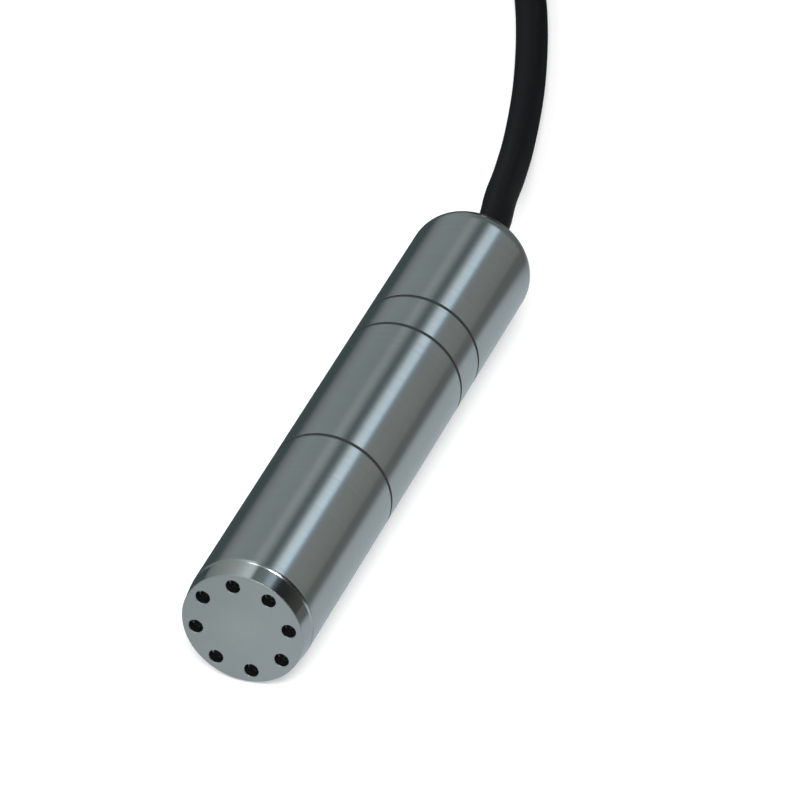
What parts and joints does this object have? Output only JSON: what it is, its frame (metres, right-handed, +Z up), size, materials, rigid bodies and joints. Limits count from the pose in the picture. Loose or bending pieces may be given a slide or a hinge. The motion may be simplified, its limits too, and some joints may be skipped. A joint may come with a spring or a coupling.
{
  "type": "submersible level transmitter",
  "caption": "Round steel probe with a perforated screw-in nose cap, rounded rear shoulder and a black vented cable folded in a long tied coil with stripped cores.",
  "frame": {"origin": "on the surface under the middle of the steel probe, which lies on its side", "axes": "+Y along the probe from its nose to its cable, +Z up, +X to the right seen from the nose"},
  "size_m": [0.0721, 0.46, 0.0386],
  "materials": {
    "steel_body": "satin turned stainless steel",
    "steel_face": "matt faced stainless steel",
    "sensor_steel": "bright turned stainless steel",
    "gold_pins": "gold plate",
    "gland_brass": "turned brass",
    "seal_rubber": "matt black rubber",
    "cable_jacket": "soft matt black jacket",
    "carrier_plastic": "moulded",
    "board_laminate": "solder mask",
    "chip_plastic": "moulded",
    "capacitor_plastic": "moulded",
    "red_insulation": "smooth",
    "green_insulation": "smooth",
    "blue_insulation": "smooth",
    "vent_nylon": "smooth",
    "tie_nylon": "moulded nylon",
    "tinned_copper": "twisted tinned copper"
  },
  "bodies": {
    "housing": {"housing_tube": "steel_body", "clamp_ring": "sensor_steel", "sensor_weld_ring": "sensor_steel", "sensor_diaphragm": "sensor_steel", "sensor_header": "sensor_steel", "sensor_vent_tube": "sensor_steel", "sensor_o_ring": "seal_rubber", "sensor_pin_1": "gold_pins", "sensor_pin_2": "gold_pins", "sensor_pin_3": "gold_pins", "sensor_pin_4": "gold_pins", "sensor_wire_1": "blue_insulation", "sensor_wire_2": "blue_insulation", "sensor_wire_3": "blue_insulation", "sensor_wire_4": "blue_insulation", "board_carrier": "carrier_plastic", "circuit_board": "board_laminate", "amplifier_chip": "chip_plastic", "voltage_regulator": "chip_plastic", "loop_transistor": "chip_plastic", "surge_diode": "chip_plastic", "filter_capacitor": "capacitor_plastic", "seal_washer": "gland_brass", "thrust_washer": "gland_brass", "gland_nut": "gland_brass", "cable_ferrule": "gland_brass", "cable_seal": "seal_rubber", "cable_end": "cable_jacket", "board_red": "red_insulation", "board_green": "green_insulation", "board_capillary": "vent_nylon", "board_drain": "tinned_copper", "cable": "cable_jacket", "cable_coil": "cable_jacket", "cable_tail": "cable_jacket", "coil_tie_1": "tie_nylon", "coil_tie_2": "tie_nylon", "coil_tie_3": "tie_nylon", "end_sleeve": "seal_rubber", "end_red": "red_insulation", "end_green": "green_insulation", "end_capillary": "vent_nylon", "end_drain": "tinned_copper"},
    "nose_cap": {"nose_cap": "steel_face"}
  },
  "joints": [
    {"name": "nose_cap_unscrews", "type": "slide", "parent": "housing", "child": "nose_cap", "axis": [0, -1, 0], "range_m": [0, 0.012]}
  ]
}
